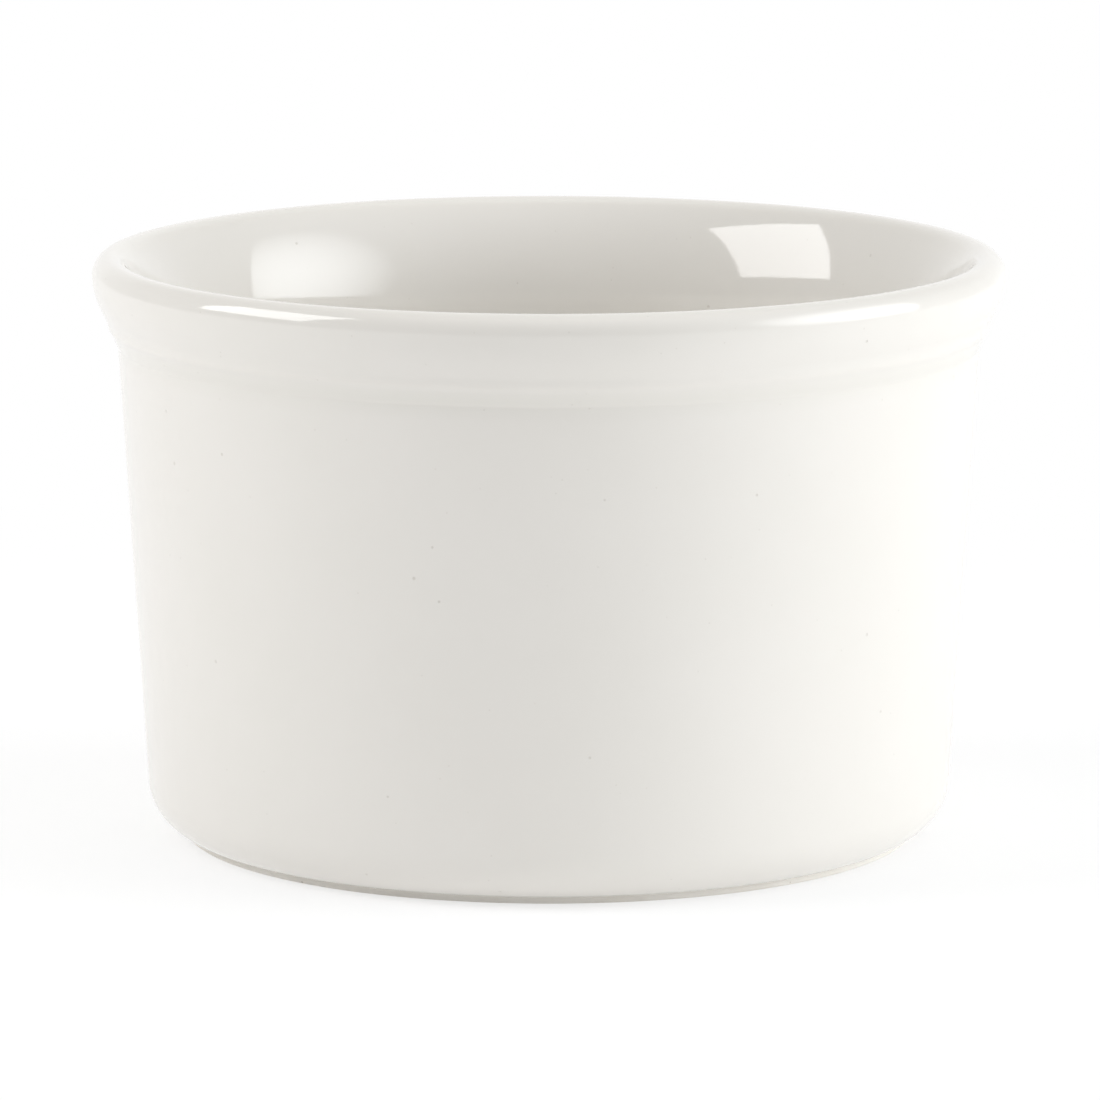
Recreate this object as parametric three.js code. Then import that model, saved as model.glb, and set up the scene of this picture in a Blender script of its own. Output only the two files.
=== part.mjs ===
import * as THREE from 'three';

// Souffle dish: one fired clay body with glaze fired onto it. Millimetres, +Z up, standing on z = 0.
// Outside and inside sizes are measured over the glaze. Angles are in degrees: a draft or a collar's lean
// is taken from the vertical, the glaze line and bare strip round the bottom corner from the horizontal.

// Outside
const HEIGHT = 64;
const LIP_DIAMETER = 100;
const CREST_INSET = 2;
const LIP_DROP = 2.2;
const KNEE_RADIUS = 7.3;
const COLLAR_REACH = 2.75;
const COLLAR_ANGLE = 24;
const COVE_RADIUS = 1.2;
const WALL_DRAFT = 3.46;
const CORNER_RADIUS = 5.5;
const CORNER_LIFT = 0.45;

// Inside
const CREST_INSIDE_RADIUS = 2;
const FLARE_ANGLE = 38;
const FLARE_RADIUS = 20;
const INSIDE_DRAFT = 3.5;
const INSIDE_CORNER_RADIUS = 7;
const FLOOR_THICKNESS = 5;

// Foot ring, bare of glaze, and the recess within it
const FOOT_WIDTH = 4.4;
const FOOT_EDGE_RADIUS = 0.35;
const RECESS_DEPTH = 1.5;
const RECESS_FILLET = 1;

// Glaze
const GLAZE_THICKNESS = 0.35;
const GLAZE_LINE_ANGLE = 66;
const BARE_STRIP_ANGLE = 6;
const BASE_GLAZE_MARGIN = 0.6;
const BASE_GLAZE_TAPER = 0.4;

// Facets
const TURN_STEPS = 64;
const ARC_STEP = 18;
const EDGE_STEP = 45;

const radians = THREE.MathUtils.degToRad;

// A point of an outline in the plane of radius and height, with the unit normal that points out of the dish.
function surfacePoint(radius, height, normalAngle) {
  const angle = radians(normalAngle);
  const normal = new THREE.Vector2(Math.cos(angle), Math.sin(angle));
  return { place: new THREE.Vector2(radius, height), normal };
}

// Points along an arc whose normal turns from one angle to the other. A hollow arc has its centre in the air.
function arc(centre, radius, fromAngle, toAngle, { hollow = false, largestStep = ARC_STEP } = {}) {
  const reach = hollow ? -radius : radius;
  const steps = Math.ceil(Math.abs(toAngle - fromAngle) / largestStep);
  return Array.from({ length: steps + 1 }, (_, step) => {
    const angle = THREE.MathUtils.lerp(fromAngle, toAngle, step / steps);
    const point = surfacePoint(0, 0, angle);
    point.place.copy(centre).addScaledVector(point.normal, reach);
    return point;
  });
}

// Lip, collar and outer wall, from the places where their tangents meet
const lipRadius = LIP_DIAMETER / 2;
const crestRadius = lipRadius - CREST_INSET;
const lipHeight = HEIGHT - LIP_DROP;
const kneeCentre = new THREE.Vector2(lipRadius - KNEE_RADIUS, lipHeight);
const kneeEnd = arc(kneeCentre, KNEE_RADIUS, -COLLAR_ANGLE, 0)[0].place;
const wallTopRadius = lipRadius - COLLAR_REACH;
const wallTopHeight = kneeEnd.y - (kneeEnd.x - wallTopRadius) / Math.tan(radians(COLLAR_ANGLE));
const cornerHeight = CORNER_LIFT + CORNER_RADIUS;
const wallSlope = Math.tan(radians(WALL_DRAFT));
const cornerWallRadius = wallTopRadius - (wallTopHeight - cornerHeight) * wallSlope;
const cornerCentre = new THREE.Vector2(
  cornerWallRadius - CORNER_RADIUS / Math.cos(radians(WALL_DRAFT)),
  cornerHeight
);

// The cove between collar and wall touches both, so its centre lies off the middle of their angle.
const coveTurn = radians((COLLAR_ANGLE - WALL_DRAFT) / 2);
const coveMiddle = surfacePoint(wallTopRadius, wallTopHeight, -(COLLAR_ANGLE + WALL_DRAFT) / 2);
const coveOffset = COVE_RADIUS / Math.cos(coveTurn);
const coveCentre = coveMiddle.place.clone().addScaledVector(coveMiddle.normal, coveOffset);

// Outer half of the lip: a quarter ellipse from above its widest place up to the crest
function lipRoll() {
  const steps = Math.ceil(90 / ARC_STEP);
  return Array.from({ length: steps }, (_, step) => {
    const turn = radians((90 * (step + 1)) / steps);
    const normalAngle = Math.atan2(Math.sin(turn) / LIP_DROP, Math.cos(turn) / CREST_INSET);
    return surfacePoint(
      crestRadius + CREST_INSET * Math.cos(turn),
      lipHeight + LIP_DROP * Math.sin(turn),
      THREE.MathUtils.radToDeg(normalAngle)
    );
  });
}

// Inner half of the lip: a tight roll from the crest, then a flare that eases into the inside wall
const crestCentre = new THREE.Vector2(crestRadius, HEIGHT - CREST_INSIDE_RADIUS);
const crestRoll = arc(crestCentre, CREST_INSIDE_RADIUS, 90, 180 - FLARE_ANGLE);
const flareTop = crestRoll.at(-1);
const flareCentre = flareTop.place.clone().addScaledVector(flareTop.normal, -FLARE_RADIUS);
const flare = arc(flareCentre, FLARE_RADIUS, 180 - FLARE_ANGLE, 180 - INSIDE_DRAFT);
const insideWallTop = flare.at(-1).place;

// Inside wall and floor
const floorHeight = RECESS_DEPTH + FLOOR_THICKNESS;
const insideCornerHeight = floorHeight + INSIDE_CORNER_RADIUS;
const insideWallFall = insideWallTop.y - insideCornerHeight;
const insideCornerCentre = new THREE.Vector2(
  insideWallTop.x
    - insideWallFall * Math.tan(radians(INSIDE_DRAFT))
    - INSIDE_CORNER_RADIUS / Math.cos(radians(INSIDE_DRAFT)),
  insideCornerHeight
);

// Glazed surface from the glaze line at the bottom corner, over the lip, to the middle of the floor
const glazedOutline = [
  ...arc(cornerCentre, CORNER_RADIUS, -GLAZE_LINE_ANGLE, -WALL_DRAFT),
  ...arc(coveCentre, COVE_RADIUS, -WALL_DRAFT, -COLLAR_ANGLE, { hollow: true }),
  ...arc(kneeCentre, KNEE_RADIUS, -COLLAR_ANGLE, 0),
  ...lipRoll(),
  ...crestRoll.slice(1),
  ...flare.slice(1),
  ...arc(insideCornerCentre, INSIDE_CORNER_RADIUS, 180 - INSIDE_DRAFT, 90, { hollow: true }),
  surfacePoint(0, floorHeight, 90),
];

const finishedOutline = glazedOutline.map((point) => point.place);
const clayOutline = glazedOutline.map((point) =>
  point.place.clone().addScaledVector(point.normal, -GLAZE_THICKNESS)
);

// Underside of the clay, from the middle of the recess, over the foot ring, to the bare strip below the glaze
const clayCornerRadius = CORNER_RADIUS - GLAZE_THICKNESS;
const bareStripEnd = GLAZE_LINE_ANGLE + BARE_STRIP_ANGLE;
const [footTop] = arc(cornerCentre, clayCornerRadius, -bareStripEnd, -GLAZE_LINE_ANGLE);
const footRadius = footTop.place.x;
const footInsideRadius = footRadius - FOOT_WIDTH;
const recessHeight = RECESS_DEPTH + GLAZE_THICKNESS;
const recessFlatRadius = footInsideRadius - RECESS_FILLET;

function undersideOutline() {
  const filletCentre = new THREE.Vector2(recessFlatRadius, recessHeight - RECESS_FILLET);
  const innerEdgeCentre = new THREE.Vector2(footInsideRadius + FOOT_EDGE_RADIUS, FOOT_EDGE_RADIUS);
  const outerEdgeCentre = new THREE.Vector2(footRadius - FOOT_EDGE_RADIUS, FOOT_EDGE_RADIUS);
  const points = [
    surfacePoint(0, recessHeight, -90),
    ...arc(filletCentre, RECESS_FILLET, -90, -180, { hollow: true, largestStep: EDGE_STEP }),
    ...arc(innerEdgeCentre, FOOT_EDGE_RADIUS, -180, -90, { largestStep: EDGE_STEP }),
    ...arc(outerEdgeCentre, FOOT_EDGE_RADIUS, -90, 0, { largestStep: EDGE_STEP }),
    footTop,
  ];
  return points.map((point) => point.place);
}

// Turns a closed outline about the upright axis.
function turned(name, outline, material) {
  const geometry = new THREE.LatheGeometry(outline, TURN_STEPS);
  geometry.rotateX(Math.PI / 2);
  const mesh = new THREE.Mesh(geometry, material);
  mesh.name = name;
  return mesh;
}

const clay = new THREE.MeshStandardMaterial({ color: '#e6ddcf', roughness: 0.85, metalness: 0 });
const glaze = new THREE.MeshStandardMaterial({ color: '#f3f0ea', roughness: 0.12, metalness: 0 });

function clayBody() {
  return turned('clay_body', [...undersideOutline(), ...clayOutline], clay);
}

// The coat lies on the clay all over, from the floor, over the lip, down to the glaze line.
function glazeCoat() {
  return turned('glaze_coat', [...clayOutline.toReversed(), ...finishedOutline], glaze);
}

// Patch of glaze on the ceiling of the recess, thinning out at its edge
function baseGlaze() {
  const edgeRadius = recessFlatRadius - BASE_GLAZE_MARGIN;
  const outline = [
    new THREE.Vector2(0, RECESS_DEPTH),
    new THREE.Vector2(edgeRadius - BASE_GLAZE_TAPER, RECESS_DEPTH),
    new THREE.Vector2(edgeRadius, recessHeight),
    new THREE.Vector2(0, recessHeight),
  ];
  return turned('base_glaze', outline, glaze);
}

const dish = new THREE.Group();
dish.add(clayBody(), glazeCoat(), baseGlaze());

export default dish;
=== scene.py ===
"""Souffle dish of fired clay under a warm-white glaze, dressed over its CAD model.

Every length is in metres and every angle in radians, in the CAD model's frame: +Z up, foot on z = 0.
"""

import math
from typing import NamedTuple

import bpy
from bpy.props import FloatProperty, FloatVectorProperty, PointerProperty
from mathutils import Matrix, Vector, noise


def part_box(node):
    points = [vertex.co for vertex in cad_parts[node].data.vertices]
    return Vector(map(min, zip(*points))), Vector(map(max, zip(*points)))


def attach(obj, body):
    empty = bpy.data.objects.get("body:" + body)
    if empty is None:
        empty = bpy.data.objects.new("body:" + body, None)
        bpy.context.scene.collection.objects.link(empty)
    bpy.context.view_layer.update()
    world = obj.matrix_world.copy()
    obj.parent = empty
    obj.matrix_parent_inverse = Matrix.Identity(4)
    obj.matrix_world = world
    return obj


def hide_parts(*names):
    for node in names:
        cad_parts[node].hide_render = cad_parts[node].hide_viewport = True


bl_info = {
    "name": "Souffle Dish",
    "version": (1, 0, 0),
    "blender": (4, 5, 0),
    "location": "3D View > Sidebar > Dish",
    "description": "Builds a glazed souffle dish and its photo stage",
    "category": "Object",
}

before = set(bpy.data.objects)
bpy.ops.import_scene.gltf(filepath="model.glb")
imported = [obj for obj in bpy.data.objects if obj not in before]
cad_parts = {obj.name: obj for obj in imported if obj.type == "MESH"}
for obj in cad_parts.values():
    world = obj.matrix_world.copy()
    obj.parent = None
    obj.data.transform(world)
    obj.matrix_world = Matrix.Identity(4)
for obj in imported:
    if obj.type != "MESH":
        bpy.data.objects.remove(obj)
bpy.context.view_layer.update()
BODY = "root"

GLAZE_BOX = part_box("glaze_coat")
LIP_DIAMETER = GLAZE_BOX[1].x - GLAZE_BOX[0].x
HEIGHT = GLAZE_BOX[1].z
MM = 0.001

# Fineness of the meshes
TURN_STEPS = 216
ARC_STEP = math.radians(4)
SWEEP_STEP = math.radians(2)
COVE_STEP = math.radians(3)
EDGE_STEP = math.radians(15)
WALL_STEP = 1.6 * MM
COLLAR_STEP = 0.2 * MM
ON_AXIS = 0.0001 * MM

# The clay stays this far under the glaze, so that the two surfaces never share a place
FIRED_GAP = 0.01 * MM


class DishSizes(bpy.types.PropertyGroup):
    """Sizes of the finished dish, measured over the glaze."""

    lip_diameter: FloatProperty(
        name="Lip diameter", description="Across the lip", default=LIP_DIAMETER, unit="LENGTH"
    )
    height: FloatProperty(
        name="Height", description="From the foot to the crest of the lip", default=HEIGHT, unit="LENGTH"
    )
    crest_inset: FloatProperty(
        name="Crest inset", description="From the lip's edge in to its crest", default=2 * MM, unit="LENGTH"
    )
    lip_drop: FloatProperty(
        name="Lip drop", description="From the crest to the widest part", default=2.2 * MM, unit="LENGTH"
    )
    knee_radius: FloatProperty(
        name="Knee radius", description="Rounding under the widest part", default=7.3 * MM, unit="LENGTH"
    )
    collar_reach: FloatProperty(
        name="Collar reach", description="From wall to lip's edge", default=2.75 * MM, unit="LENGTH"
    )
    collar_angle: FloatProperty(
        name="Collar angle", description="Lean of the collar", default=math.radians(24), subtype="ANGLE"
    )
    cove_radius: FloatProperty(
        name="Cove radius", description="Hollow where collar and wall meet", default=0.8 * MM, unit="LENGTH"
    )
    bead_rise: FloatProperty(
        name="Bead rise", description="Height of the bead round the collar", default=0.09 * MM, unit="LENGTH"
    )
    wall_draft: FloatProperty(
        name="Wall draft", description="Lean of the outer wall", default=math.radians(3.46), subtype="ANGLE"
    )
    corner_radius: FloatProperty(
        name="Corner radius", description="Rounding of the bottom corner", default=5.5 * MM, unit="LENGTH"
    )
    corner_lift: FloatProperty(
        name="Corner lift", description="Table to the corner arc", default=0.45 * MM, unit="LENGTH"
    )
    crest_inside_radius: FloatProperty(
        name="Crest inside radius", description="Roll from the crest inward", default=2 * MM, unit="LENGTH"
    )
    flare_angle: FloatProperty(
        name="Flare angle", description="Lean of the flare's top", default=math.radians(38), subtype="ANGLE"
    )
    flare_radius: FloatProperty(
        name="Flare radius", description="Sweep of the flare into the wall", default=20 * MM, unit="LENGTH"
    )
    inside_draft: FloatProperty(
        name="Inside draft", description="Lean of the inside", default=math.radians(3.5), subtype="ANGLE"
    )
    inside_corner_radius: FloatProperty(
        name="Inside corner radius", description="Rounding from wall to floor", default=7 * MM, unit="LENGTH"
    )
    floor_thickness: FloatProperty(
        name="Floor thickness", description="From recess to inside floor", default=5 * MM, unit="LENGTH"
    )
    foot_width: FloatProperty(
        name="Foot width", description="Width of the bare foot ring", default=4.4 * MM, unit="LENGTH"
    )
    foot_edge_radius: FloatProperty(
        name="Foot edge radius", description="Rounding of the foot's edges", default=0.35 * MM, unit="LENGTH"
    )
    recess_depth: FloatProperty(
        name="Recess depth", description="Hollow within the foot ring", default=1.5 * MM, unit="LENGTH"
    )
    recess_fillet: FloatProperty(
        name="Recess fillet", description="Rounding from foot to recess", default=1 * MM, unit="LENGTH"
    )
    glaze_thickness: FloatProperty(
        name="Glaze thickness", description="Thickness of the glaze", default=0.35 * MM, unit="LENGTH"
    )
    glaze_line_angle: FloatProperty(
        name="Glaze line", description="Glaze's end on the corner", default=math.radians(66), subtype="ANGLE"
    )
    bare_strip_angle: FloatProperty(
        name="Bare strip", description="Bare clay above the foot", default=math.radians(6), subtype="ANGLE"
    )
    base_glaze_margin: FloatProperty(
        name="Base glaze margin", description="Bare rim round the patch", default=0.6 * MM, unit="LENGTH"
    )
    waver: FloatProperty(
        name="Waver", description="Unevenness of the fired surface", default=0.03 * MM, unit="LENGTH"
    )


class DishFinish(bpy.types.PropertyGroup):
    """Colours of the glaze and the bare clay."""

    glaze: FloatVectorProperty(
        name="Glaze",
        description="Warm white of the glaze",
        default=(0.84, 0.815, 0.772),
        size=3,
        subtype="COLOR",
    )
    # Darker pooled glaze: used for the random tone drift and real pooling, and also as painted shade in the
    # cove, the inside corner and the glaze's end
    glaze_pool_and_shade: FloatVectorProperty(
        name="Pooled glaze and shade",
        description="Glaze where it lies deeper, and painted shade in creases",
        default=(0.814, 0.792, 0.742),
        size=3,
        subtype="COLOR",
    )
    glaze_thin: FloatVectorProperty(
        name="Thin glaze",
        description="Glaze over edges and bead",
        default=(0.85, 0.821, 0.769),
        size=3,
        subtype="COLOR",
    )
    pinhole: FloatVectorProperty(
        name="Pinhole",
        description="Pinholes in the glaze and specks in the clay",
        default=(0.36, 0.31, 0.25),
        size=3,
        subtype="COLOR",
    )
    clay: FloatVectorProperty(
        name="Clay",
        description="Bare fired clay",
        default=(0.92, 0.893, 0.845),
        size=3,
        subtype="COLOR",
    )
    clay_dark: FloatVectorProperty(
        name="Toasted clay",
        description="Clay browned in patches by the kiln",
        default=(0.86, 0.82, 0.755),
        size=3,
        subtype="COLOR",
    )


class DishStage(bpy.types.PropertyGroup):
    """Floor, light and camera of the studio."""

    floor_colour: FloatVectorProperty(
        name="Floor",
        description="Pale studio floor",
        default=(0.87, 0.87, 0.87),
        size=3,
        subtype="COLOR",
    )
    floor_glow: FloatProperty(
        name="Floor glow", description="Light that comes up from the table", default=0.175, min=0, max=2
    )
    surround: FloatProperty(
        name="Surround", description="Even light of the room", default=0.258, min=0, max=2
    )
    backdrop: FloatProperty(
        name="Backdrop", description="Light of the white backdrop", default=0.78, min=0, max=2
    )
    ceiling: FloatProperty(
        name="Ceiling", description="Light of the white ceiling over the dish", default=0.65, min=0, max=2
    )
    right_wall: FloatProperty(
        name="Right wall", description="Light of the white wall on the right", default=0.64, min=0, max=4
    )
    key_colour: FloatVectorProperty(
        name="Key colour",
        description="Cool daylight of the right panel",
        default=(0.945, 0.975, 1.0),
        size=3,
        subtype="COLOR",
    )
    key_light: FloatProperty(
        name="Key light", description="Power of the right panel", default=6.1, unit="POWER"
    )
    fill_light: FloatProperty(
        name="Fill light", description="Power of the left panel", default=2.5, unit="POWER"
    )
    camera_place: FloatVectorProperty(
        name="Camera",
        description="Where the camera stands",
        default=(0.0001, -0.80306, 0.17266),
        size=3,
        subtype="TRANSLATION",
    )
    camera_pitch: FloatProperty(
        name="Camera pitch", description="Downward tilt", default=math.radians(10.015), subtype="ANGLE"
    )


class Spot(NamedTuple):
    """A place on an outline: radius, height, angle of the outward normal, and glaze depth, whose pooled side
    also carries painted shade.
    """

    radius: float
    height: float
    normal: float
    depth: float = 0.0

    def moved(self, distance):
        """The same spot, moved along its normal."""
        return self._replace(
            radius=self.radius + distance * math.cos(self.normal),
            height=self.height + distance * math.sin(self.normal),
        )


def arc(centre, radius, start, end, step=ARC_STEP, hollow=False):
    """Spots along an arc whose normal turns from start to end. A hollow arc has its centre in the air."""
    reach = -radius if hollow else radius
    count = max(1, math.ceil(abs(end - start) / step))
    angles = [start + (end - start) * i / count for i in range(count + 1)]
    return [Spot(centre[0], centre[1], angle).moved(reach) for angle in angles]


def run(first, last, step):
    """Spots between two others on a straight stretch, without its ends."""
    count = max(1, math.ceil(math.hypot(last.radius - first.radius, last.height - first.height) / step))
    shares = [i / count for i in range(1, count)]
    return [
        first._replace(
            radius=first.radius + (last.radius - first.radius) * share,
            height=first.height + (last.height - first.height) * share,
        )
        for share in shares
    ]


def joined(*stretches, step=WALL_STEP):
    """One outline of stretches that touch each other along straight runs."""
    outline = list(stretches[0])
    for stretch in stretches[1:]:
        outline += run(outline[-1], stretch[0], step)
        outline += stretch
    return outline


def hump(value, middle, width):
    """A smooth hump of height 1."""
    return math.exp(-(((value - middle) / width) ** 2))


class Outline:
    """The dish's outlines, worked out from its sizes."""

    # The soft bead round the collar and the shallow groove above it, as heights over the cove
    BEAD_LIFT = 2.25 * MM
    BEAD_WIDTH = 0.5 * MM
    GROOVE_LIFT = 3.3 * MM
    GROOVE_WIDTH = 0.7 * MM
    GROOVE_SHARE = 0.5
    # The glaze swells a little before it ends, pools in hollows and thins out over the bead. The pools take
    # a darker colour, which also paints shade into the hollows
    ROLL_RISE = 0.03 * MM
    ROLL_WIDTH = math.radians(7)
    ROLL_POOL_SHADE = 0.4
    POOL_SHADE_LIFT = 0.55 * MM
    POOL_SHADE_WIDTH = 1.2 * MM
    BEAD_THINNING = 0.5

    def __init__(self, sizes):
        self.sizes = sizes
        self.place_outside()
        self.place_inside()
        self.place_foot()

    def place_outside(self):
        """Centres of the outer arcs, from the places where their tangents meet."""
        s = self.sizes
        self.lip_radius = s.lip_diameter / 2
        self.crest_radius = self.lip_radius - s.crest_inset
        self.lip_height = s.height - s.lip_drop
        self.knee_centre = (self.lip_radius - s.knee_radius, self.lip_height)
        knee_end = Spot(*self.knee_centre, -s.collar_angle).moved(s.knee_radius)
        wall_top = self.lip_radius - s.collar_reach
        self.cove_height = knee_end.height - (knee_end.radius - wall_top) / math.tan(s.collar_angle)
        half_turn = (s.collar_angle - s.wall_draft) / 2
        cove_middle = Spot(wall_top, self.cove_height, -(s.collar_angle + s.wall_draft) / 2)
        self.cove_centre = cove_middle.moved(s.cove_radius / math.cos(half_turn))[:2]
        corner_height = s.corner_lift + s.corner_radius
        wall_foot = wall_top - (self.cove_height - corner_height) * math.tan(s.wall_draft)
        self.corner_centre = (wall_foot - s.corner_radius / math.cos(s.wall_draft), corner_height)

    def place_inside(self):
        """Lip's inner roll and flare, and the centre of the inside corner."""
        s = self.sizes
        self.crest_roll = arc(
            (self.crest_radius, s.height - s.crest_inside_radius),
            s.crest_inside_radius,
            math.pi / 2,
            math.pi - s.flare_angle,
        )
        flare_centre = self.crest_roll[-1].moved(-s.flare_radius)[:2]
        self.flare = arc(
            flare_centre, s.flare_radius, math.pi - s.flare_angle, math.pi - s.inside_draft, SWEEP_STEP
        )
        wall_top = self.flare[-1]
        self.floor_height = s.recess_depth + s.floor_thickness
        corner_height = self.floor_height + s.inside_corner_radius
        fall = (wall_top.height - corner_height) * math.tan(s.inside_draft)
        reach = s.inside_corner_radius / math.cos(s.inside_draft)
        self.inside_corner_centre = (wall_top.radius - fall - reach, corner_height)

    def place_foot(self):
        """Radii of the foot ring and heights of the recess."""
        s = self.sizes
        clay_corner = s.corner_radius - s.glaze_thickness
        strip_end = -(s.glaze_line_angle + s.bare_strip_angle)
        self.foot_top = Spot(*self.corner_centre, strip_end).moved(clay_corner)
        self.foot_radius = self.foot_top.radius
        self.foot_inside = self.foot_radius - s.foot_width
        self.recess_height = s.recess_depth + s.glaze_thickness
        self.recess_flat = self.foot_inside - s.recess_fillet

    def lip_roll(self):
        """Outer half of the lip, a quarter ellipse from its widest place up to the crest."""
        s = self.sizes
        count = math.ceil(math.pi / 2 / ARC_STEP)
        turns = [math.pi / 2 * i / count for i in range(1, count + 1)]
        return [
            Spot(
                self.crest_radius + s.crest_inset * math.cos(turn),
                self.lip_height + s.lip_drop * math.sin(turn),
                math.atan2(math.sin(turn) / s.lip_drop, math.cos(turn) / s.crest_inset),
            )
            for turn in turns
        ]

    def swell(self, spot):
        """How far the glaze stands off its even surface: bead, groove and the roll at its lower end."""
        s = self.sizes
        outside = math.cos(spot.normal) > 0
        if not outside:
            return 0.0
        bead = hump(spot.height, self.cove_height + self.BEAD_LIFT, self.BEAD_WIDTH)
        groove = hump(spot.height, self.cove_height + self.GROOVE_LIFT, self.GROOVE_WIDTH)
        roll = hump(spot.normal, -s.glaze_line_angle, self.ROLL_WIDTH)
        return s.bead_rise * (bead - self.GROOVE_SHARE * groove) + self.ROLL_RISE * roll

    def depth(self, spot):
        """Glaze depth from -1, thin over an edge, to 1, pooled in a hollow. The pooled side is painted
        darker: partly real pooling, partly painted shade in the cove, at the glaze's end and in the inside
        corner.
        """
        s = self.sizes
        outside = math.cos(spot.normal) > 0
        near_top = hump(spot.height, s.height, s.crest_inset)
        crest = near_top * hump(spot.radius, self.crest_radius, s.crest_inset)
        if outside:
            cove = hump(spot.height, self.cove_height + self.POOL_SHADE_LIFT, self.POOL_SHADE_WIDTH)
            roll = hump(spot.normal, -s.glaze_line_angle, self.ROLL_WIDTH)
            bead = hump(spot.height, self.cove_height + self.BEAD_LIFT, self.BEAD_WIDTH)
            return cove + self.ROLL_POOL_SHADE * roll - crest - self.BEAD_THINNING * bead
        corner = hump(spot.height, self.floor_height, 2 * s.inside_corner_radius)
        return corner - crest

    def glazed(self):
        """The finished surface, from the glaze line, over the lip, to the middle of the floor."""
        s = self.sizes
        collar = joined(
            arc(self.cove_centre, s.cove_radius, -s.wall_draft, -s.collar_angle, COVE_STEP, hollow=True),
            arc(self.knee_centre, s.knee_radius, -s.collar_angle, 0, SWEEP_STEP),
            step=COLLAR_STEP,
        )
        outline = joined(
            arc(self.corner_centre, s.corner_radius, -s.glaze_line_angle, -s.wall_draft),
            collar + self.lip_roll() + self.crest_roll[1:] + self.flare[1:],
            arc(
                self.inside_corner_centre,
                s.inside_corner_radius,
                math.pi - s.inside_draft,
                math.pi / 2,
                hollow=True,
            ),
            [Spot(0, self.floor_height, math.pi / 2)],
        )
        return [spot._replace(depth=self.depth(spot)) for spot in outline]

    def glaze_end(self):
        """The rounded end of the glaze on the corner, from the clay out to the finished surface, given the
        full pooled depth, which paints it darker as shade.
        """
        s = self.sizes
        clay_corner = s.corner_radius - s.glaze_thickness
        overhang = s.glaze_thickness / s.corner_radius
        count = math.ceil(math.pi / 2 / EDGE_STEP)
        turns = [math.pi / 2 * i / count for i in range(count)]
        return [
            Spot(*self.corner_centre, -s.glaze_line_angle - overhang * math.cos(turn), 1.0).moved(
                clay_corner + s.glaze_thickness * math.sin(turn)
            )
            for turn in turns
        ]

    def underside(self):
        """Bare clay from the middle of the recess, over the foot ring, to the strip below the glaze."""
        s = self.sizes
        fillet_centre = (self.recess_flat, self.recess_height - s.recess_fillet)
        inner_edge = (self.foot_inside + s.foot_edge_radius, s.foot_edge_radius)
        outer_edge = (self.foot_radius - s.foot_edge_radius, s.foot_edge_radius)
        quarter = math.pi / 2
        return joined(
            [Spot(0, self.recess_height, -quarter)],
            arc(fillet_centre, s.recess_fillet, -quarter, -2 * quarter, EDGE_STEP, hollow=True),
            arc(inner_edge, s.foot_edge_radius, -2 * quarter, -quarter, EDGE_STEP),
            arc(outer_edge, s.foot_edge_radius, -quarter, 0, EDGE_STEP),
            [self.foot_top],
        )

    def base_patch(self):
        """The glaze in the recess, with a rounded edge."""
        s = self.sizes
        edge_radius = self.recess_flat - s.base_glaze_margin - s.glaze_thickness
        edge = arc((edge_radius, self.recess_height), s.glaze_thickness, -math.pi / 2, 0, EDGE_STEP)
        top = Spot(0, self.recess_height, math.pi / 2)
        bottom = Spot(0, s.recess_depth, -math.pi / 2)
        return joined([bottom], edge) + run(edge[-1], top, WALL_STEP) + [top]


def waver(amount, spot, angle):
    """Small unevenness of a fired surface at a place round the dish, from a fixed noise in two sizes."""
    waves_per_metre = 28.0
    small_share = 0.35
    small_scale = 3
    place = Vector((spot.radius * math.cos(angle), spot.radius * math.sin(angle), spot.height))
    place *= waves_per_metre
    return amount * (noise.noise(place) + small_share * noise.noise(place * small_scale))


def turned_mesh(name, outline, unevenness=0.0):
    """A closed mesh of an outline turned about the upright axis, with the glaze depth, which also carries
    painted shade, kept on its points.
    """
    angles = [2 * math.pi * i / TURN_STEPS for i in range(TURN_STEPS)]
    points, depths_and_shade, rings, faces = [], [], [], []
    for spot in outline:
        first = len(points)
        on_axis = spot.radius < ON_AXIS
        for angle in angles[:1] if on_axis else angles:
            placed = spot if on_axis else spot.moved(waver(unevenness, spot, angle))
            across, along = placed.radius * math.cos(angle), placed.radius * math.sin(angle)
            points.append((across, along, placed.height))
            depths_and_shade.append(spot.depth)
        rings.append(range(first, len(points)))
    pairs = list(zip(rings, rings[1:]))
    if len(rings[0]) > 1:
        pairs.append((rings[-1], rings[0]))
    for low, high in pairs:
        for i in range(TURN_STEPS):
            j = (i + 1) % TURN_STEPS
            corners = [low[i % len(low)], low[j % len(low)], high[j % len(high)], high[i % len(high)]]
            unique = list(dict.fromkeys(corners))
            if len(unique) > 2:
                faces.append(unique)
    mesh = bpy.data.meshes.new(name)
    mesh.from_pydata(points, [], faces)
    mesh.attributes.new("glaze_depth_and_shade", "FLOAT", "POINT").data.foreach_set("value", depths_and_shade)
    mesh.shade_smooth()
    mesh.validate()
    return mesh


def add_piece(name, mesh, material, node):
    """Places a finished mesh in the scene in the stead of its CAD node."""
    mesh.materials.append(material)
    piece = bpy.data.objects.new(name, mesh)
    bpy.context.scene.collection.objects.link(piece)
    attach(piece, BODY)
    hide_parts(node)
    return piece


def add_node(tree, kind, settings=None, inputs=None):
    """A shader node with its settings, and with values or links on its inputs."""
    made = tree.nodes.new(kind)
    for key, value in (settings or {}).items():
        setattr(made, key, value)
    for key, value in (inputs or {}).items():
        if isinstance(value, bpy.types.NodeSocket):
            tree.links.new(value, made.inputs[key])
        else:
            made.inputs[key].default_value = value
    return made


def math_node(tree, operation, *values):
    """The result of a sum on two or three values or sockets."""
    made = add_node(tree, "ShaderNodeMath", {"operation": operation}, dict(enumerate(values)))
    return made.outputs[0]


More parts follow.
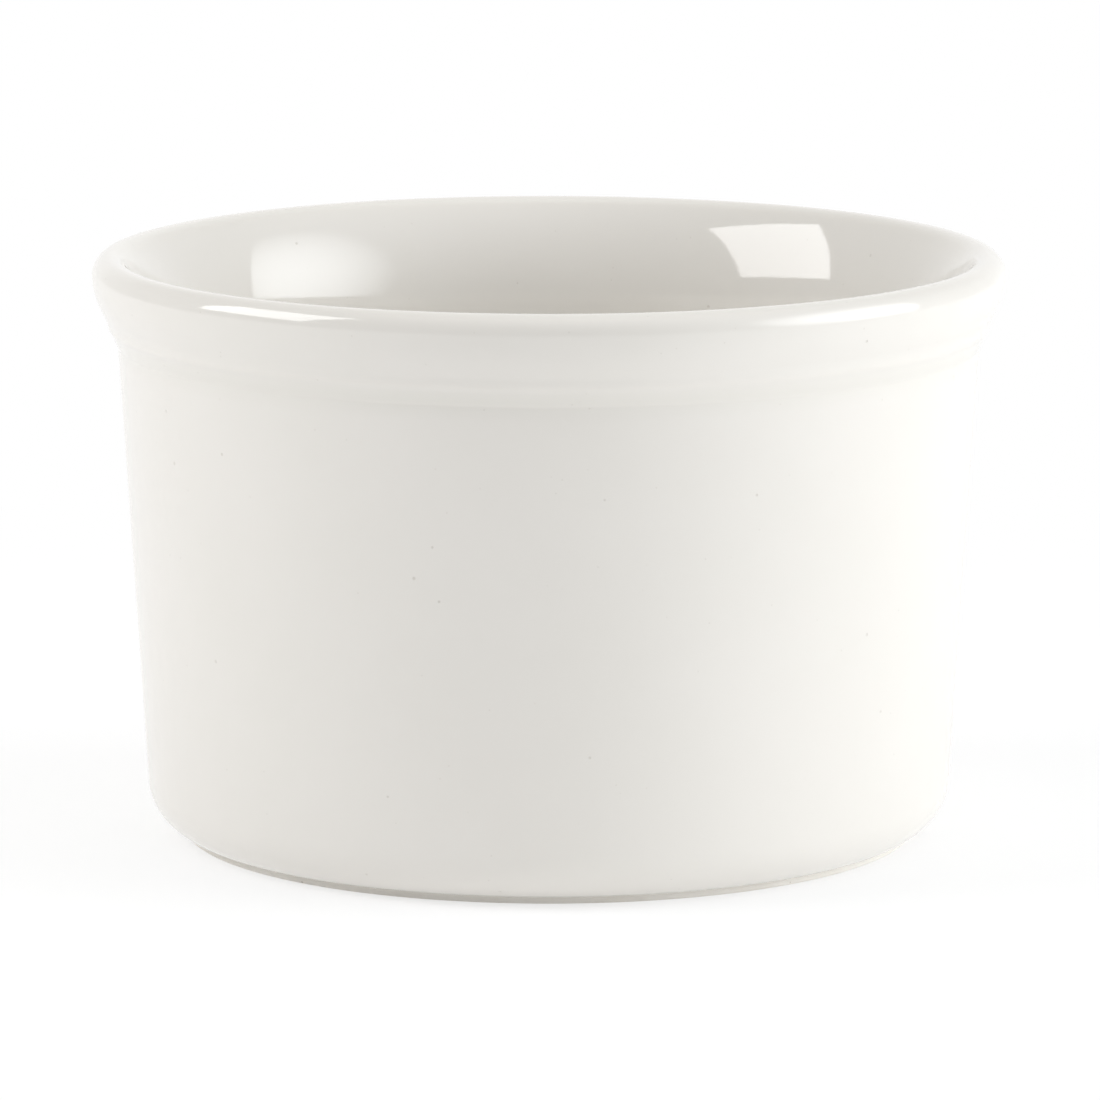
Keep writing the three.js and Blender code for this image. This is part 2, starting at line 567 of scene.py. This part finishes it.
def mix_colour(tree, share, first, second):
    """A mix of two colours by a share. The node's colour sockets follow those of its other data types."""
    share_socket, first_socket, second_socket, result_socket = 0, 6, 7, 2
    inputs = {share_socket: share, first_socket: first, second_socket: second}
    return add_node(tree, "ShaderNodeMix", {"data_type": "RGBA"}, inputs).outputs[result_socket]


def remap(tree, value, span=(0.0, 1.0), result=(0.0, 1.0), easing="LINEAR"):
    """A value that goes from one result to the other over a span."""
    inputs = {"Value": value}
    for name, number in zip(("From Min", "From Max", "To Min", "To Max"), (*span, *result)):
        inputs[name] = number
    return add_node(tree, "ShaderNodeMapRange", {"interpolation_type": easing}, inputs).outputs["Result"]


def new_group(name, inputs, outputs):
    """An empty shader group with its sockets. Inputs give each socket's default value."""
    group = bpy.data.node_groups.new(name, "ShaderNodeTree")
    for label, default in inputs.items():
        kind = "NodeSocketVector" if default is None else "NodeSocketFloat"
        socket = group.interface.new_socket(name=label, in_out="INPUT", socket_type=kind)
        if default is not None:
            socket.default_value = default
    for label in outputs:
        group.interface.new_socket(name=label, in_out="OUTPUT", socket_type="NodeSocketFloat")
    return group, group.nodes.new("NodeGroupInput").outputs, group.nodes.new("NodeGroupOutput").inputs


def specks_group():
    """Sparse round specks of mixed sizes: pinholes in glaze, iron specks in clay."""
    name = "kiln_specks"
    core_share = 0.55
    if name in bpy.data.node_groups:
        return bpy.data.node_groups[name]
    group, given, out = new_group(name, {"Vector": None, "Spacing": 4 * MM, "Radius": 0.2 * MM}, ["Mask"])
    density = math_node(group, "DIVIDE", 1.0, given["Spacing"])
    cells = add_node(group, "ShaderNodeTexVoronoi", inputs={"Vector": given["Vector"], "Scale": density})
    edge = math_node(group, "DIVIDE", given["Radius"], given["Spacing"])
    core = math_node(group, "MULTIPLY", edge, core_share)
    mask = remap(group, cells.outputs["Distance"], (edge, core), easing="SMOOTHSTEP")
    group.links.new(mask, out["Mask"])
    return group


def grain_group():
    """Slow drift of tone and a fine ripple, for any fired surface."""
    name = "fired_grain"
    if name in bpy.data.node_groups:
        return bpy.data.node_groups[name]
    inputs = {"Vector": None, "Drift Size": 20 * MM, "Ripple Size": 2 * MM}
    group, given, out = new_group(name, inputs, ["Drift", "Ripple"])
    for label, detail in (("Drift", 3.0), ("Ripple", 2.0)):
        density = math_node(group, "DIVIDE", 1.0, given[label + " Size"])
        cloud = add_node(
            group,
            "ShaderNodeTexNoise",
            inputs={"Vector": given["Vector"], "Scale": density, "Detail": detail, "Roughness": 0.5},
        )
        group.links.new(cloud.outputs["Fac"], out[label])
    return group


def place_group(tree, group, vector, **values):
    """A group node on a material, with its own values."""
    made = add_node(tree, "ShaderNodeGroup", {"node_tree": group}, {"Vector": vector})
    for label, value in values.items():
        made.inputs[label.replace("_", " ").title()].default_value = value
    return made.outputs


def new_material(name):
    """A material with an empty tree, its shader and the object's own coordinates."""
    material = bpy.data.materials.new(name)
    material.use_nodes = True
    tree = material.node_tree
    tree.nodes.clear()
    shader = add_node(tree, "ShaderNodeBsdfPrincipled")
    output = add_node(tree, "ShaderNodeOutputMaterial", inputs={"Surface": shader.outputs[0]})
    coordinates = add_node(tree, "ShaderNodeTexCoord").outputs["Object"]
    return material, tree, shader, output, coordinates


def opaque(colour):
    """A colour with full alpha."""
    return (*colour, 1.0)


def glaze_material(finish):
    """Glossy warm-white glaze: slow tone drift, pooling that also paints shade into the creases, pinholes
    and a faint orange peel.
    """
    name = "warm_white_glaze"
    if name in bpy.data.materials:
        return bpy.data.materials[name]
    drift_span, most_drift = (0.3, 0.7), 0.5
    hole_darkness, pit_darkness = 0.3, 0.12
    gloss_span, hole_roughness = (0.035, 0.085), 0.3
    hole_depth, pit_depth_share = -6.0, 0.3
    material, tree, shader, _, coordinates = new_material(name)
    grain = place_group(tree, grain_group(), coordinates, drift_size=18 * MM, ripple_size=1.6 * MM)
    holes = place_group(tree, specks_group(), coordinates, spacing=4.6 * MM, radius=0.21 * MM)
    pits = place_group(tree, specks_group(), coordinates, spacing=2.4 * MM, radius=0.12 * MM)
    depth = add_node(tree, "ShaderNodeAttribute", {"attribute_name": "glaze_depth_and_shade"}).outputs["Fac"]
    # Where the glaze lies deep it takes the darker pooled colour: partly real pooling, partly painted shade
    # in the cove, the inside corner and at the glaze's end
    pooled_and_shade = math_node(tree, "MAXIMUM", depth, 0.0)
    thinned = math_node(tree, "MAXIMUM", math_node(tree, "MULTIPLY", depth, -1.0), 0.0)
    drift = remap(tree, grain["Drift"], drift_span, (0.0, most_drift))
    body = mix_colour(tree, drift, opaque(finish.glaze), opaque(finish.glaze_pool_and_shade))
    body = mix_colour(tree, pooled_and_shade, body, opaque(finish.glaze_pool_and_shade))
    body = mix_colour(tree, thinned, body, opaque(finish.glaze_thin))
    shown_pits = math_node(tree, "MULTIPLY", pits["Mask"], pit_darkness)
    shown_holes = math_node(tree, "MULTIPLY", holes["Mask"], hole_darkness)
    marks = math_node(tree, "MAXIMUM", shown_holes, shown_pits)
    tree.links.new(mix_colour(tree, marks, body, opaque(finish.pinhole)), shader.inputs["Base Color"])
    gloss = remap(tree, grain["Drift"], result=gloss_span)
    rough = math_node(tree, "MULTIPLY_ADD", holes["Mask"], hole_roughness, gloss)
    tree.links.new(rough, shader.inputs["Roughness"])
    shader.inputs["IOR"].default_value = 1.6
    sunk = math_node(tree, "MULTIPLY_ADD", pits["Mask"], pit_depth_share, holes["Mask"])
    height = math_node(tree, "MULTIPLY_ADD", sunk, hole_depth, grain["Ripple"])
    bump = add_node(
        tree, "ShaderNodeBump", inputs={"Strength": 0.5, "Distance": 0.012 * MM, "Height": height}
    )
    tree.links.new(bump.outputs["Normal"], shader.inputs["Normal"])
    return material


def clay_material(finish):
    """Bare fired clay: fine grain, toasted patches, iron specks and a ground, matt surface."""
    name = "bare_fired_clay"
    if name in bpy.data.materials:
        return bpy.data.materials[name]
    toasted_span, most_toasted = (0.4, 0.72), 0.7
    mottle_share, speck_darkness = 0.25, 0.5
    matt_span = (0.7, 0.95)
    material, tree, shader, _, coordinates = new_material(name)
    grain = place_group(tree, grain_group(), coordinates, drift_size=9 * MM, ripple_size=0.3 * MM)
    specks = place_group(tree, specks_group(), coordinates, spacing=1.4 * MM, radius=0.16 * MM)
    toasted = remap(tree, grain["Drift"], toasted_span, (0.0, most_toasted))
    body = mix_colour(tree, toasted, opaque(finish.clay), opaque(finish.clay_dark))
    mottled = math_node(tree, "MULTIPLY", grain["Ripple"], mottle_share)
    body = mix_colour(tree, mottled, body, opaque(finish.clay_dark))
    shown = math_node(tree, "MULTIPLY", specks["Mask"], speck_darkness)
    tree.links.new(mix_colour(tree, shown, body, opaque(finish.pinhole)), shader.inputs["Base Color"])
    tree.links.new(remap(tree, grain["Ripple"], result=matt_span), shader.inputs["Roughness"])
    bump = add_node(
        tree, "ShaderNodeBump", inputs={"Strength": 0.6, "Distance": 0.06 * MM, "Height": grain["Ripple"]}
    )
    tree.links.new(bump.outputs["Normal"], shader.inputs["Normal"])
    return material


def floor_material(stage):
    """A pale floor with the dish's soft shadow, seen as white farther out and clear from below."""
    shadow_share = 0.45
    shadow_edge = (0.06, 0.22)
    material, tree, shader, output, coordinates = new_material("studio_floor")
    from_axis = add_node(tree, "ShaderNodeVectorMath", {"operation": "LENGTH"}, {0: coordinates})
    shader.inputs["Base Color"].default_value = opaque(stage.floor_colour)
    shader.inputs["Roughness"].default_value = 0.9
    shader.inputs["Emission Color"].default_value = (1, 1, 1, 1)
    shader.inputs["Emission Strength"].default_value = stage.floor_glow
    white = add_node(tree, "ShaderNodeEmission", inputs={"Strength": 1.0})
    share = remap(tree, from_axis.outputs["Value"], shadow_edge, (1 - shadow_share, 1.0), "SMOOTHSTEP")
    path = add_node(tree, "ShaderNodeLightPath").outputs
    mirrored = math_node(tree, "MAXIMUM", path["Is Glossy Ray"], path["Is Transmission Ray"])
    seen = math_node(tree, "MAXIMUM", path["Is Camera Ray"], mirrored)
    mixed = add_node(
        tree,
        "ShaderNodeMixShader",
        inputs={0: math_node(tree, "MULTIPLY", share, seen), 1: shader.outputs[0], 2: white.outputs[0]},
    )
    clear = add_node(tree, "ShaderNodeBsdfTransparent")
    facing_down = add_node(tree, "ShaderNodeNewGeometry").outputs["Backfacing"]
    from_below = math_node(tree, "MULTIPLY", path["Is Camera Ray"], facing_down)
    shown = add_node(
        tree, "ShaderNodeMixShader", inputs={0: from_below, 1: mixed.outputs[0], 2: clear.outputs[0]}
    )
    tree.links.new(shown.outputs[0], output.inputs["Surface"])
    return material


def heading(azimuth, elevation):
    """A direction from the dish. Azimuth 0 is the camera's side and 90 degrees is the dish's right."""
    level = math.cos(elevation)
    return Vector((math.sin(azimuth) * level, -math.cos(azimuth) * level, math.sin(elevation)))


# Where the lights stand, seen from the dish, and the panels' width and height
CEILING_HEADING = heading(0, math.radians(90))
RIGHT_WALL_HEADING = heading(math.radians(74), math.radians(30))
BACKDROP_HEADING = heading(math.radians(180), 0)
KEY_HEADING = heading(math.radians(76.5), math.radians(23))
FILL_HEADING = heading(math.radians(-83.4), math.radians(35.7))
PANEL_DISTANCE = 0.75
KEY_SIZE = (0.75, 0.64)
FILL_SIZE = (0.43, 0.4)

# The key panel's bright middle and how far its light fades from there, as shares of its width and height
KEY_MIDDLE = (0.62, 0.41)
KEY_REACH = (0.6, 0.59)

# The fill panel faces a point behind the dish and over it
FILL_AIM = Vector((0, 0.17, 0.14))


def set_world(stage):
    """A room with white walls. The camera sees white all round, and mirrors see it on the backdrop."""
    # Each wall's heading, how narrow its light is, and its level
    walls = (
        (CEILING_HEADING, 4.0, stage.ceiling),
        (RIGHT_WALL_HEADING, 6.0, stage.right_wall),
        (BACKDROP_HEADING, 3.0, stage.backdrop),
    )
    mirrored_narrowness = 3.0
    world = bpy.data.worlds.new("white_room")
    bpy.context.scene.world = world
    world.use_nodes = True
    tree = world.node_tree
    direction = add_node(tree, "ShaderNodeTexCoord").outputs["Generated"]
    light = stage.surround
    for towards, narrowness, level in walls:
        facing = add_node(
            tree, "ShaderNodeVectorMath", {"operation": "DOT_PRODUCT"}, {0: direction, 1: towards}
        )
        ahead = math_node(tree, "MAXIMUM", facing.outputs["Value"], 0.0)
        lobe = math_node(tree, "POWER", ahead, narrowness)
        light = math_node(tree, "MULTIPLY_ADD", lobe, level, light)
    path = add_node(tree, "ShaderNodeLightPath").outputs
    mirrored = math_node(tree, "MAXIMUM", path["Is Glossy Ray"], path["Is Transmission Ray"])
    white_behind = math_node(tree, "POWER", lobe, mirrored_narrowness)
    mirrored_white = math_node(tree, "MULTIPLY", mirrored, white_behind)
    seen = math_node(tree, "MAXIMUM", path["Is Camera Ray"], mirrored_white)
    missing = math_node(tree, "SUBTRACT", 1.0, light)
    strength = math_node(tree, "MULTIPLY_ADD", seen, missing, light)
    background = tree.nodes["Background"]
    background.inputs["Color"].default_value = (1, 1, 1, 1)
    tree.links.new(strength, background.inputs["Strength"])


def add_panel_light(name, place, aim, size, power, colour=(1, 1, 1)):
    """A soft panel at a place, facing a point."""
    lamp = bpy.data.lights.new(name, "AREA")
    lamp.shape = "RECTANGLE"
    lamp.size, lamp.size_y = size
    lamp.energy = power
    lamp.color = colour
    holder = bpy.data.objects.new(name, lamp)
    holder.location = place
    holder.rotation_euler = (place - aim).to_track_quat("Z", "Y").to_euler()
    holder.visible_camera = False
    bpy.context.scene.collection.objects.link(holder)
    return lamp


def fade_panel(lamp, middle, reach):
    """Lets a panel's light fade from a bright middle, as shares of its width and height."""
    lamp.use_nodes = True
    tree = lamp.node_tree
    place = add_node(tree, "ShaderNodeNewGeometry").outputs["Parametric"]
    offset = add_node(tree, "ShaderNodeVectorMath", {"operation": "SUBTRACT"}, {0: place, 1: (*middle, 0)})
    share = add_node(
        tree, "ShaderNodeVectorMath", {"operation": "DIVIDE"}, {0: offset.outputs[0], 1: (*reach, 1)}
    ).outputs[0]
    squared = add_node(tree, "ShaderNodeVectorMath", {"operation": "DOT_PRODUCT"}, {0: share, 1: share})
    faded = math_node(tree, "SUBTRACT", 1.0, squared.outputs["Value"])
    strength = math_node(tree, "MAXIMUM", faded, 0.0)
    tree.links.new(strength, tree.nodes["Emission"].inputs["Strength"])


def add_camera(stage):
    """The camera of the photo: a long lens from over the rim, looking a little down."""
    lens = 242.16
    sensor = 36.0
    camera = bpy.data.cameras.new("photo_camera")
    camera.lens = lens
    camera.sensor_width = sensor
    holder = bpy.data.objects.new("photo_camera", camera)
    holder.location = stage.camera_place
    holder.rotation_euler = (math.pi / 2 - stage.camera_pitch, 0, 0)
    bpy.context.scene.collection.objects.link(holder)
    bpy.context.scene.camera = holder


def add_floor(stage):
    """A wide round floor, a hair under the dish so that the two never share a place."""
    radius = 6.0
    sides = 96
    drop = 0.03 * MM
    angles = [2 * math.pi * i / sides for i in range(sides)]
    mesh = bpy.data.meshes.new("studio_floor")
    corners = [(radius * math.cos(angle), radius * math.sin(angle), -drop) for angle in angles]
    mesh.from_pydata(corners, [], [range(sides)])
    mesh.materials.append(floor_material(stage))
    floor = bpy.data.objects.new("studio_floor", mesh)
    bpy.context.scene.collection.objects.link(floor)


class DISH_OT_clay_body(bpy.types.Operator):
    """Builds the fired clay: wall, floor, collar, lip and foot ring in one piece"""

    bl_idname = "dish.clay_body"
    bl_label = "Clay Body"

    def execute(self, context):
        sizes = context.scene.dish_sizes
        outline = Outline(sizes)
        sunk = sizes.glaze_thickness + FIRED_GAP
        under_glaze = [spot.moved(-sunk) for spot in outline.glazed()]
        strip_end = -sizes.glaze_line_angle - sizes.bare_strip_angle
        strip = arc(outline.corner_centre, sizes.corner_radius - sunk, strip_end, -sizes.glaze_line_angle)
        mesh = turned_mesh("clay_body_fired", outline.underside() + strip[1:-1] + under_glaze)
        add_piece("clay_body_fired", mesh, clay_material(context.scene.dish_finish), "clay_body")
        return {"FINISHED"}


class DISH_OT_glaze_coat(bpy.types.Operator):
    """Builds the glaze over the inside, the lip and the outside down to the glaze line"""

    bl_idname = "dish.glaze_coat"
    bl_label = "Glaze Coat"

    def execute(self, context):
        sizes = context.scene.dish_sizes
        outline = Outline(sizes)
        even = outline.glazed()
        on_clay = [spot.moved(-sizes.glaze_thickness) for spot in reversed(even)][:-1]
        finished = [spot.moved(outline.swell(spot)) for spot in even]
        mesh = turned_mesh("glaze_coat_fired", on_clay + outline.glaze_end() + finished, sizes.waver)
        add_piece("glaze_coat_fired", mesh, glaze_material(context.scene.dish_finish), "glaze_coat")
        return {"FINISHED"}


class DISH_OT_base_glaze(bpy.types.Operator):
    """Builds the patch of glaze in the recess of the foot"""

    bl_idname = "dish.base_glaze"
    bl_label = "Base Glaze"

    def execute(self, context):
        sizes = context.scene.dish_sizes
        mesh = turned_mesh("base_glaze_fired", Outline(sizes).base_patch())
        add_piece("base_glaze_fired", mesh, glaze_material(context.scene.dish_finish), "base_glaze")
        return {"FINISHED"}


class DISH_OT_stage(bpy.types.Operator):
    """Sets the studio: pale floor, white surround, two soft panels and the camera"""

    bl_idname = "dish.stage"
    bl_label = "Stage"

    def execute(self, context):
        stage = context.scene.dish_stage
        context.scene.view_settings.view_transform = "Standard"
        add_floor(stage)
        set_world(stage)
        middle = Vector((0, 0, HEIGHT / 2))
        key_place = middle + PANEL_DISTANCE * KEY_HEADING
        key = add_panel_light("key_panel", key_place, middle, KEY_SIZE, stage.key_light, stage.key_colour)
        fade_panel(key, KEY_MIDDLE, KEY_REACH)
        fill_place = middle + PANEL_DISTANCE * FILL_HEADING
        add_panel_light("fill_panel", fill_place, FILL_AIM, FILL_SIZE, stage.fill_light)
        add_camera(stage)
        return {"FINISHED"}


class DISH_PT_build(bpy.types.Panel):
    """Lists the dish's pieces and its stage"""

    bl_idname = "DISH_PT_build"
    bl_label = "Souffle Dish"
    bl_space_type = "VIEW_3D"
    bl_region_type = "UI"
    bl_category = "Dish"

    def draw(self, context):
        for step in BUILD_STEPS:
            self.layout.operator(step.bl_idname)
        for label in SETTINGS:
            group = getattr(context.scene, label)
            box = self.layout.box()
            for prop in group.bl_rna.properties:
                if prop.identifier not in {"rna_type", "name"}:
                    box.prop(group, prop.identifier)


BUILD_STEPS = (DISH_OT_clay_body, DISH_OT_glaze_coat, DISH_OT_base_glaze, DISH_OT_stage)
SETTINGS = {"dish_sizes": DishSizes, "dish_finish": DishFinish, "dish_stage": DishStage}
CLASSES = (*SETTINGS.values(), *BUILD_STEPS, DISH_PT_build)


def register():
    """Registers the classes and hangs their settings on the scene."""
    for cls in CLASSES:
        bpy.utils.register_class(cls)
    for label, cls in SETTINGS.items():
        setattr(bpy.types.Scene, label, PointerProperty(type=cls))


def unregister():
    """Takes the settings and classes away again."""
    for label in SETTINGS:
        delattr(bpy.types.Scene, label)
    for cls in reversed(CLASSES):
        bpy.utils.unregister_class(cls)


def main():
    """Builds every piece and the stage."""
    register()
    bpy.ops.dish.clay_body()
    bpy.ops.dish.glaze_coat()
    bpy.ops.dish.base_glaze()
    bpy.ops.dish.stage()


if __name__ == "__main__":
    main()
